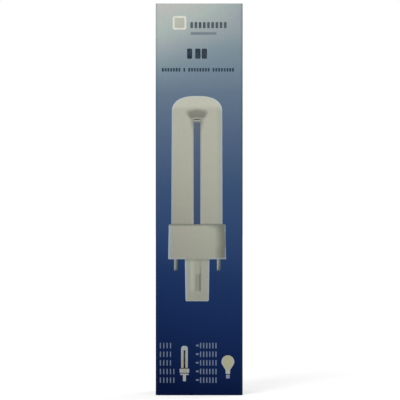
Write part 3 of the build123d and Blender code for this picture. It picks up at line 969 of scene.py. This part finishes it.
# %% Table blocks
table_low, table_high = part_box("print_table_bars")
row_pitch = 3.42 * mm
row_height = 2.2 * mm
table_block = 0.5 * mm
table_gap = 0.83 * mm
narrower = 0.06 * mm
dash_x = table_low.x + 14.3 * mm
right_x = table_low.x + 15.9 * mm
table_rows = []
for row in range(5):
    foot = table_high.z - row * row_pitch - row_height
    left_group = (table_block - narrower,) * (5 if row > 2 else 4)
    table_rows += [
        (table_low.x, foot, row_height, [left_group], table_gap + narrower, 0),
        (dash_x, foot + 0.8 * mm, 0.7 * mm, [(1.1 * mm,)], table_gap, 0),
        (right_x, foot, row_height, [(table_block,) * 6], 0.72 * mm, 0),
    ]
table = block_rows("table_blocks", table_rows)
table.data.materials.append(ink_material("pale_blue_offset_ink", "626E86"))
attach(table, "carton")
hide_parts("print_table_bars")
print("table", len(table.data.polygons), "faces")

# %% [markdown]
# Beside the first row stands a plain badge: a pale rounded square, which is the frame's own coat, with
# a slightly darker field laid on it.

# %% Badge and rule
dress(ink_material("pale_offset_ink", "DCDCD0"), "print_badge")
dress(ink_material("grey_offset_ink", "727F86"), "print_heading_rule")
badge_low, badge_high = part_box("print_badge")
border = 0.75 * mm
field = ink_block(
    "badge_field",
    (badge_low.x + border, badge_high.x - border),
    (badge_low.z + border, badge_high.z - border),
    0.4 * mm,
    layer=2,
)
field.data.materials.append(ink_material("grey_green_offset_ink", "B6B8AB"))
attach(field, "carton")
print("badge", round((badge_high.x - badge_low.x) / mm, 1), "mm")

# %% [markdown]
# ## The two small pictures
# Beside the table stand a small lamp of the same kind and a pear-shaped bulb, in pale ink. The lamp
# is made of rounded blocks. The bulb is a thin disc whose lower side is drawn down twice: once and
# narrower for the shoulders of the pear, and once straight for its neck.

# %% Finish of the small pictures
def rimmed_ink(name, middle, rim, centre, reach):
    """Ink that turns from one tone in the middle of a shape to another towards its sides."""
    material, put, surface, place = blank_material(name)
    away = put("multiply place", put("subtract place", place, centre), (1, 0, 0.55))
    turned = put("ease", put("length", away), 0.45 * reach, 0.95 * reach)
    satin_varnish(put, surface, place, laid(put, linear(middle), rim, turned))
    return material


print("rimmed ink ready")

# %% Small lamp
icon_low, icon_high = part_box("print_icon_lamp")
icon_x = (icon_low.x + icon_high.x) / 2


def icon_part(name, width, foot, head, corner, **options):
    """A rounded block centred on the small lamp, between two heights above its foot."""
    x_range = (icon_x - width / 2, icon_x + width / 2)
    return ink_block(name, x_range, (icon_low.z + foot, icon_low.z + head), corner, **options)


small_lamp = joined([
    icon_part("icon_tubes", 2.65 * mm, 5.32 * mm, 13.98 * mm, 1.0 * mm, top_only=True),
    icon_part("icon_cap", 3.8 * mm, 3.33 * mm, 4.95 * mm, 0.2 * mm),
    icon_part("icon_collar", 3.3 * mm, 2.45 * mm, 3.02 * mm, 0.15 * mm),
    icon_part("icon_post", 1.2 * mm, 0.0 * mm, 2.45 * mm, 0.15 * mm),
], "small_lamp_print")
tube_middle = (icon_x, front_face, icon_low.z + 6 * mm)
lamp_ink = rimmed_ink("pale_lamp_offset_ink", "98978D", "999EA0", tube_middle, 2.4 * mm)
small_lamp.data.materials.append(lamp_ink)
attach(small_lamp, "carton")
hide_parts("print_icon_lamp")

icon_slot = icon_part(
    "small_lamp_slot", 0.72 * mm, 5.3 * mm, 12.3 * mm, 0.2 * mm, layer=2, top_only=True
)
icon_slot.data.materials.append(ink_material("dark_brown_offset_ink", "0C0A06"))
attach(icon_slot, "carton")
print("small lamp", round((icon_high.z - icon_low.z) / mm, 1), "mm tall")

# %% Small bulb
bulb_low, bulb_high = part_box("print_icon_bulb")
bulb_x = (bulb_low.x + bulb_high.x) / 2
bulb_half = (bulb_high.x - bulb_low.x) / 2
globe_radius = bulb_half - 0.1 * mm
globe_z = bulb_high.z - bulb_half
bulb_y = front_face - 1.5 * ink
neck_half = 0.88 * mm
base_half = 0.75 * mm
bpy.ops.object.select_all(action="DESELECT")
bpy.ops.mesh.primitive_cylinder_add(
    vertices=60,
    radius=globe_radius,
    depth=ink,
    location=(bulb_x, bulb_y, globe_z),
    rotation=(math.radians(90), 0, 0),
)
bulb = bpy.context.active_object
bpy.ops.object.transform_apply(location=True, rotation=True, scale=True)
bpy.ops.object.mode_set(mode="EDIT")
bpy.ops.mesh.select_mode(type="FACE")
for reach, drop, narrow in ((0.42, 3.3 * mm, neck_half), (1.15, 4.8 * mm, None)):
    low_edge = globe_z - reach * globe_radius
    choose(bulb, "FACE", lambda middle: middle.z < low_edge and abs(middle.y - bulb_y) < ink / 8)
    bpy.ops.mesh.extrude_region_move(TRANSFORM_OT_translate={"value": (0, 0, -0.5 * mm)})
    bpy.ops.object.mode_set(mode="OBJECT")
    widest = max(abs(v.co.x - bulb_x) for v in bulb.data.vertices if v.select)
    heights = [v.co.z for v in bulb.data.vertices if v.select]
    level = sum(heights) / len(heights)
    bpy.ops.object.mode_set(mode="EDIT")
    squeeze = narrow / widest if narrow else 1.0
    bpy.ops.transform.resize(value=(squeeze, 1, 0), center_override=(bulb_x, bulb_y, level))
    bpy.ops.transform.translate(value=(0, 0, globe_z - drop - level))
bpy.ops.object.mode_set(mode="OBJECT")
base_x = (bulb_x - base_half, bulb_x + base_half)
base_z = (bulb_low.z + 0.1 * mm, bulb_low.z + 1.6 * mm)
base = ink_block("bulb_base", base_x, base_z, 0.2 * mm)
base.data.materials.append(ink_material("pale_violet_offset_ink", "7F8398"))
small_bulb = joined([bulb], "small_bulb_print")
globe_middle = (bulb_x, front_face, globe_z)
globe_ink = rimmed_ink("pale_bulb_offset_ink", "A2A186", "9FA2A3", globe_middle, globe_radius)
small_bulb.data.materials.append(globe_ink)
for piece in (small_bulb, base):
    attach(piece, "carton")
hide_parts("print_icon_bulb")
print("small bulb", round(2 * globe_radius / mm, 1), "mm wide")

# %% [markdown]
# ## The lamp inside
# It shows when a lid is open. The glass is clear soda glass with white phosphor powder inside, so it
# looks like smooth white china with a bright gloss. It greys a little where the heaters are, just
# above the cap. The cap and the post are moulded PBT, a hard warm-white plastic with a dull sheen.

# %% Coated glass
tube_low, tube_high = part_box("lamp_glass")
shell_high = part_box("cap_shell")[1]
powder_cloud = 6 * mm
heater_reach = 14 * mm
coated_glass, put, surface, place = blank_material("phosphor_coated_soda_glass")
height = put("SeparateXYZ", place).node.outputs["Z"]
above_cap = put("share", height, shell_high.z, shell_high.z + heater_reach)
powder = put("tones", above_cap, stops=[(0.0, "C9C8C0"), (0.5, "E6E6E0"), (1.0, "EFEFEA")])
cloud = put("ease", put("TexNoise", place, 1 / powder_cloud, 2.0), 0.3, 0.7, 0.0, 0.05)
connect(surface, {
    "Base Color": laid(put, powder, "D8D9D2", cloud),
    "Roughness": 0.35,
    "Coat Weight": 1.0,
    "Coat Roughness": 0.04,
})
dress(coated_glass, "lamp_glass")
print("glass", round((tube_high.z - tube_low.z) / mm, 1), "mm")

# %% Moulded plastic
pore_size = 0.3 * mm
flow_size = 9 * mm
moulded, put, surface, place = blank_material("moulded_pbt")
grain = put("TexNoise", place, 1 / pore_size, 2.0)
flow = put("ease", put("TexNoise", place, 1 / flow_size), 0.3, 0.7, 0.0, 0.35)
connect(surface, {
    "Base Color": laid(put, linear("E9E6DB"), "DFDBCE", flow),
    "Normal": put("Bump", Height=grain, Strength=0.3, Distance=0.02 * mm),
    "Roughness": 0.48,
})
dress(moulded, "cap_shell", "pin_plate")
print("moulded parts: cap_shell, pin_plate")

# %% [markdown]
# The pins are drawn brass and the wires tinned copper: both shine, with fine lines along the way that
# they were drawn. The starter is a small bottle of clear glass, a little wavy. Its capacitor was dipped
# in epoxy resin, which leaves a glossy skin of slightly uneven colour.

# %% Metals, starter and capacitor
line_width = 0.2 * mm
line_length = mm / 0.15
wave_size = 2 * mm
dip_size = 1.5 * mm


def drawn_metal(name, text, dark, roughness):
    """A drawn wire or pin: a metal with fine lines along its length."""
    material, put, surface, place = blank_material(name)
    stretched = put("Mapping", place, Scale=(1 / line_width, 1 / line_width, 1 / line_length))
    lines = put("ease", put("TexNoise", stretched, 1.0, 2.0), 0.35, 0.65)
    connect(surface, {
        "Base Color": laid(put, linear(text), dark, lines),
        "Metallic": 1.0,
        "Roughness": roughness,
    })
    return material


dress(drawn_metal("drawn_brass", "D6BF86", "BDA56C", 0.28), "contact_pins")
dress(drawn_metal("tinned_copper_wire", "C9C9C4", "ABABA6", 0.35), "electrode_leads")

starter_glass, put, surface, place = blank_material("clear_bottle_glass")
waves = put("TexNoise", place, 1 / wave_size)
connect(surface, {
    "Base Color": linear("DDE6E4"),
    "Normal": put("Bump", Height=waves, Strength=0.2, Distance=0.05 * mm),
    "Transmission Weight": 0.9,
    "Roughness": 0.06,
    "IOR": 1.5,
})
dress(starter_glass, "glow_starter")

dipped, put, surface, place = blank_material("dipped_epoxy_resin")
uneven = put("TexNoise", place, 1 / dip_size)
connect(surface, {
    "Base Color": laid(put, linear("B4532B"), "A04622", uneven),
    "Roughness": 0.25,
})
dress(dipped, "starter_capacitor")
print("metals, glass and resin set")
